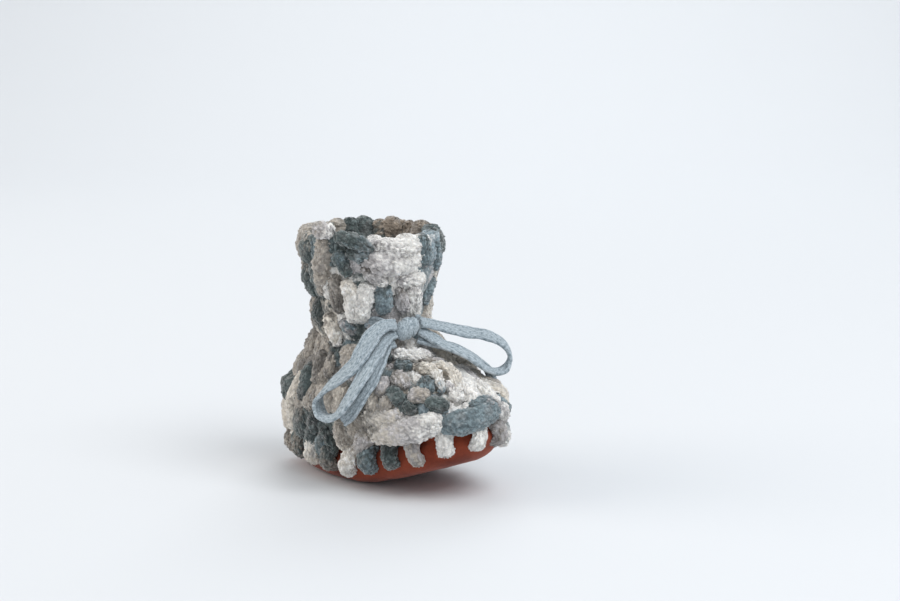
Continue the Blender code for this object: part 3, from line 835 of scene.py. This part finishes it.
def make_knot(material):
    """The cord wrapped once over itself: a pinched barrel with folds running over it."""
    around, across = 96, 48
    turn = np.linspace(0, 2 * math.pi, around, endpoint=False)
    share = np.linspace(-1, 1, across)
    share = np.sin(share * math.pi / 2)
    ring, bar = np.meshgrid(turn, share, indexing="xy")
    swell = np.sqrt(np.maximum(1 - np.abs(bar) ** 2.4, 0.002))
    fold = np.ones_like(bar)
    for (deep, at, sway, wide), wave in zip(KNOT_FOLDS, (np.sin(ring), np.cos(ring))):
        fold -= deep * np.exp(-((bar - at + sway * wave) / wide) ** 2)
    out = KNOT_HALF[0] * KNOT_FULL * swell * fold * np.cos(ring)
    side = KNOT_HALF[1] * bar
    up = KNOT_HALF[2] * KNOT_FULL * swell * fold * np.sin(ring)
    x, y, z = bow_point(KNOT_CENTRE[0] + out, KNOT_CENTRE[1] + side, KNOT_CENTRE[2] + up)
    points = np.stack([x, y, z + KNOT_RISE * bar], -1).reshape(-1, 3)
    index = np.arange(around * across)
    grid = index.reshape(across, around)
    right = np.roll(grid, -1, axis=1)
    faces = np.stack([grid[:-1], grid[1:], right[1:], right[:-1]], -1)
    faces = faces.reshape(-1, 4).tolist() + [grid[0].tolist(), grid[-1][::-1].tolist()]
    mesh = bpy.data.meshes.new("knot")
    mesh.from_pydata(points, [], faces)
    unwrap(mesh, index % around * 0.0003, index // around * 0.00025)
    mesh.shade_smooth()
    mesh.materials.append(material)
    return add_object("knot", mesh)


def make_drawstring(material):
    for name, node, rows, body, far_end in (
        ("loop_left", "bow_loop_left", LOOP_LEFT, "bow_left", "object"),
        ("tail_left", "tie_tail_left", TAIL_LEFT, "bow_left", "bare"),
        ("loop_right", "bow_loop_right", LOOP_RIGHT, "bow_right", "object"),
        ("tail_right", "tie_tail_right", TAIL_RIGHT, "bow_right", "bare"),
    ):
        gathered = (0, 1) if far_end == "object" else (0,)
        made, length, path = ribbon(name, bow_route(rows), material, gathered)
        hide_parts(node)
        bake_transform(made)
    band, _, _ = ribbon("band", band_route(), material)
    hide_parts("tie_band")
    knot = make_knot(material)
    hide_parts("tie_knot")
    for piece in (band, knot):
        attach(piece, "foot")


# ---- the sole -----------------------------------------------------------------------------
def above_ground(x, height):
    """The real height of a point of the sole's wall that would be at this height at the heel."""
    share = np.maximum(0.0, (np.asarray(x) - LIFT_START) / (SOLE_FRONT - LIFT_START))
    return height * (1 - TOE_LOWER * share) + LIFT_TOE * share ** LIFT_POWER


def sole_outline(angle, inset=0.0):
    """Points of the sole's edge seen from above, and the directions straight out from it."""
    angle = np.atleast_1d(angle)
    mid = (SOLE_FRONT + SOLE_BACK) / 2
    long_half = (SOLE_FRONT - SOLE_BACK) / 2 - inset
    half = SOLE_HALF - inset
    cosine, sine = np.cos(angle), np.sin(angle)
    along = np.sign(cosine) * np.abs(cosine) ** (2 / SOLE_SQUARENESS)
    across = np.sign(sine) * np.abs(sine) ** (2 / SOLE_SQUARENESS)
    power = SOLE_SQUARENESS - 1
    away = np.stack([
        np.sign(along) * np.abs(along) ** power / long_half,
        np.sign(across) * np.abs(across) ** power / half,
        np.zeros_like(along),
    ], -1)
    return mid + long_half * along, half * across, unit(away)


def even_angles(count, offset=0.0):
    """Angles of points spaced evenly along the sole's edge."""
    fine = np.linspace(0, 2 * math.pi, 1441)
    x, y, _ = sole_outline(fine)
    walked = np.concatenate([[0], np.cumsum(np.hypot(np.diff(x), np.diff(y)))])
    return np.interp((np.arange(count) + offset) / count * walked[-1], walked, fine), walked[-1]


# The wall from its top edge, tucked in under the yarn, to the flat bottom: inset and height.
SOLE_WALL = (
    (0.0040, 0.0186),
    (0.0012, 0.0150),
    (0.0, 0.0110),
    (0.0006, 0.0075),
    (0.0024, 0.0038),
    (0.0055, 0.0012),
    (0.0095, 0.0),
)
# Dents in the suede, wide and fine: their size and depth.
DENTS = ((0.011, 0.00035), (0.0013, 0.00008))
CREASE_X, CREASE_HEIGHT, CREASE_SLOPE = LEG_X + 0.034, 0.006, 1.1
CREASE_WIDE, CREASE_DEEP = 0.0016, 0.0007
EDGE_ROUND, SOLE_WELD = 0.0007, 0.00002


def make_sole(material):
    columns = 440
    angles, edge_length = even_angles(columns)
    rows = spline(SOLE_WALL, np.linspace(0, len(SOLE_WALL) - 1, 24))
    rows[:, 1] = np.maximum(rows[:, 1], 0)
    outer = []
    for inset, height in rows:
        x, y, _ = sole_outline(angles, inset)
        outer.append(np.stack([x + LEG_X, y, above_ground(x, height)], -1))
    last_x, last_y, _ = sole_outline(angles, SOLE_WALL[-1][0])
    for share in np.linspace(1, 0, 22)[1:]:
        outer.append(np.stack([last_x + LEG_X, last_y * share, above_ground(last_x, 0)], -1))
    outer = np.array(outer)
    _, _, away = sole_outline(angles)
    normal = np.gradient(outer, axis=0)
    around = np.roll(outer, -1, axis=1) - np.roll(outer, 1, axis=1)
    face = unit(np.cross(around, normal))
    wall_rows = len(rows)
    face[(face * (away + (0, 0, -1))).sum(-1) < 0] *= -1
    # On the flat bottom the normal is straight down; on the wall it turns out.
    face[wall_rows:] = (0, 0, -1)
    flat = outer.reshape(-1, 3)
    (wide, wide_deep), (fine, fine_deep) = DENTS
    dents = clouds(flat, wide, SEED + 8) * wide_deep + clouds(flat, fine, SEED + 9) * fine_deep
    past = flat[:, 0] - CREASE_X - (flat[:, 2] - CREASE_HEIGHT) * CREASE_SLOPE
    dents = dents - CREASE_DEEP * np.exp(-(past / CREASE_WIDE) ** 2)
    outer = outer + face * dents.reshape(outer.shape[:2])[..., None]
    outer[..., 2] = np.maximum(outer[..., 2], 0.0)
    inner = outer - face * SOLE_THICK
    inner[0] = outer[0] - away * SOLE_THICK
    mid = (outer[0] + inner[0]) / 2 + (0, 0, EDGE_ROUND)
    # Where each hole and each column is, measured along the sole's edge.
    holes = (np.arange(LACE_COUNT) + 0.5) / LACE_COUNT * edge_length
    half_way = edge_length / 2
    s = np.arange(columns) / columns * edge_length
    count = len(outer)
    points = np.concatenate([outer.reshape(-1, 3), inner.reshape(-1, 3), mid])
    size = count * columns
    index = np.arange(size).reshape(count, columns)
    right = np.roll(index, -1, axis=1)
    open_face = np.zeros((count - 1, columns), bool)
    for hole in holes:
        gap = (s + edge_length / columns / 2 - hole + half_way) % edge_length - half_way
        for row in range(wall_rows - 1):
            height = (rows[row, 1] + rows[row + 1, 1]) / 2
            open_face[row] |= np.hypot(gap, height - HOLE_HEIGHT) < HOLE_RADIUS
    solid = ~open_face
    first = np.stack([index[:-1], index[1:], right[1:], right[:-1]], -1)
    faces = first[solid].tolist()
    faces += (first[..., ::-1] + size)[solid].tolist()
    for row in range(count - 1):
        for column in np.nonzero(open_face[row])[0]:
            a, b, c, d = first[row, column]
            for p, q, other in (
                (a, b, open_face[row, column - 1]),
                (b, c, open_face[row + 1, column]),
                (c, d, open_face[row, (column + 1) % columns]),
                (d, a, open_face[row - 1, column] if row else False),
            ):
                if not other:
                    faces.append([q, p, p + size, q + size])
    top = 2 * size + np.arange(columns)
    top_right = np.roll(top, -1)
    faces += np.stack([index[0], right[0], top_right, top], -1).tolist()
    faces += np.stack([top, top_right, right[0] + size, index[0] + size], -1).tolist()
    mesh = bpy.data.meshes.new("sole")
    mesh.from_pydata(points, [], faces)
    mesh.shade_smooth()
    mesh.materials.append(material)
    made = add_object("sole", mesh)
    weld = made.modifiers.new("weld", "WELD")
    weld.merge_threshold = SOLE_WELD
    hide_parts("suede_sole")
    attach(made, "foot")


# The lacing's colours, one stitch a hole: from the toe's far side round the heel and back.
LACES = "LG NW TN GT CB WC SW NS TT GT BB CB GB BT WC TG CW TN KT LB WW WW".split()
LACE_RADIUS, LACE_LEAN, LACE_MIDDLE, LACE_SPAN = 0.0040, 0.0022, 0.0115, 0.0090
# A stitch's way round: outward from the sole's edge, and height.
LACE_PATH = (
    (-0.0045, 0.0150),
    (-0.0010, 0.0184),
    (0.0016, 0.0168),
    (0.0026, 0.0136),
    (0.0024, 0.0108),
    (0.0006, 0.0088),
    (-0.0034, 0.0088),
)


def make_laces(material, rng):
    angles, _ = even_angles(LACE_COUNT, 0.5)
    x, y, away = sole_outline(angles)
    along = np.cross((0, 0, 1), away)
    for i, colours in enumerate(LACES):
        lean = LACE_LEAN * rng.uniform(-1, 1)
        radius = LACE_RADIUS * rng.uniform(0.92, 1.08)
        base = np.array([x[i] + LEG_X, y[i], 0])
        stops = []
        for out, height in LACE_PATH:
            share = np.clip((height - LACE_PATH[-1][1]) / LACE_SPAN, 0, 1)
            high = (0, 0, float(above_ground(x[i], height)))
            stops.append(base + away[i] * out + along[i] * lean * share + high)
        stops = np.array(stops)
        middle = base + np.array((0, 0, float(above_ground(x[i], LACE_MIDDLE))))
        out = unit(stops - middle)
        piece = tuft(stops, out, radius, colours, plump=6, flat=0.9)
        made = tufts_mesh(f"lace_{i + 1:02d}", [piece], rng)
        made.data.materials.append(material)
        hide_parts(f"lace_stitch_{i + 1:02d}")
        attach(made, "foot")


def make_upper(material, rng):
    hand = hand_tufts()
    for index, name in enumerate(ROUNDS):
        tufts = ring_tufts(index, ROUND_YARN[name], hand, rng)
        tufts += [
            piece for middle, piece, *_ in hand
            if index <= middle < index + 1
            or (index == 0 and middle < 0)
            or (index == TOP - 1 and middle >= TOP)
        ]
        made = tufts_mesh("yarn_" + name, tufts, rng)
        made.data.materials.append(material)
        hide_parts(name)
        if name == "waist_round":
            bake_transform(made)
        else:
            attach(made, "leg" if index >= CUFF else "foot")


# ---- stage --------------------------------------------------------------------------------
FLOOR_REACH, BACKDROP_AT, BACKDROP_HIGH = 4.0, 1.2, 3.0
BEND_RADIUS, BEND_STEPS = 0.8, 12
PAPER, SKY, SKY_STRENGTH = (0.70, 0.71, 0.725, 1), (0.90, 0.95, 1.0, 1), 0.62
LIGHTS_AIM = Vector((0, 0, 0.05))
# Each light's name, place, size, power and colour.
LIGHTS = (
    ("key", (1.1, 0.1, 1.5), 1.1, 19, (0.96, 0.98, 1.0)),
    ("fill", (-1.1, -1.0, 0.8), 1.2, 11, (1.0, 0.93, 0.85)),
    ("back", (-0.9, 1.2, 1.3), 1.2, 12, (0.95, 0.98, 1.0)),
)


def add_floor():
    """A floor that sweeps up into a backdrop, away from the camera."""
    profile = [(-FLOOR_REACH, 0.0), (BACKDROP_AT, 0.0)]
    for i in range(1, BEND_STEPS + 1):
        turn = math.radians(90 * i / BEND_STEPS)
        far = BACKDROP_AT + BEND_RADIUS * math.sin(turn)
        profile.append((far, BEND_RADIUS - BEND_RADIUS * math.cos(turn)))
    profile.append((BACKDROP_AT + BEND_RADIUS, BACKDROP_HIGH))
    points, faces = [], []
    deep = Vector((-math.sin(AZIMUTH), math.cos(AZIMUTH), 0))
    wide = Vector((math.cos(AZIMUTH), math.sin(AZIMUTH), 0))
    for far, height in profile:
        for side in (-FLOOR_REACH, FLOOR_REACH):
            points.append(deep * far + wide * side + Vector((0, 0, height)))
    for i in range(len(profile) - 1):
        faces.append((2 * i, 2 * i + 1, 2 * i + 3, 2 * i + 2))
    mesh = bpy.data.meshes.new("floor")
    mesh.from_pydata(points, [], faces)
    mesh.shade_smooth()
    floor = add_object("floor", mesh)
    paper, _, shader = new_material("paper")
    shader.inputs["Base Color"].default_value = PAPER
    shader.inputs["Roughness"].default_value = 0.9
    shader.inputs["Specular IOR Level"].default_value = 0.1
    mesh.materials.append(paper)


def add_stage():
    add_floor()
    world = bpy.data.worlds.new("studio")
    bpy.context.scene.world = world
    world.use_nodes = True
    glow = world.node_tree.nodes["Background"]
    glow.inputs["Color"].default_value = SKY
    glow.inputs["Strength"].default_value = SKY_STRENGTH
    for name, place, size, power, colour in LIGHTS:
        data = bpy.data.lights.new(name, "AREA")
        data.size, data.energy, data.color = size, power, colour
        made = add_object(name, data)
        made.location = place
        made.rotation_euler = (Vector(place) - LIGHTS_AIM).to_track_quat("Z", "Y").to_euler()
    bpy.context.scene.view_settings.view_transform = "Standard"


def main():
    rng = random.Random(SEED)
    add_camera()
    jersey = jersey_material()
    make_drawstring(jersey)
    make_sole(suede_material())
    chenille = yarn_material()
    make_laces(chenille, rng)
    make_upper(chenille, rng)
    add_stage()


main()
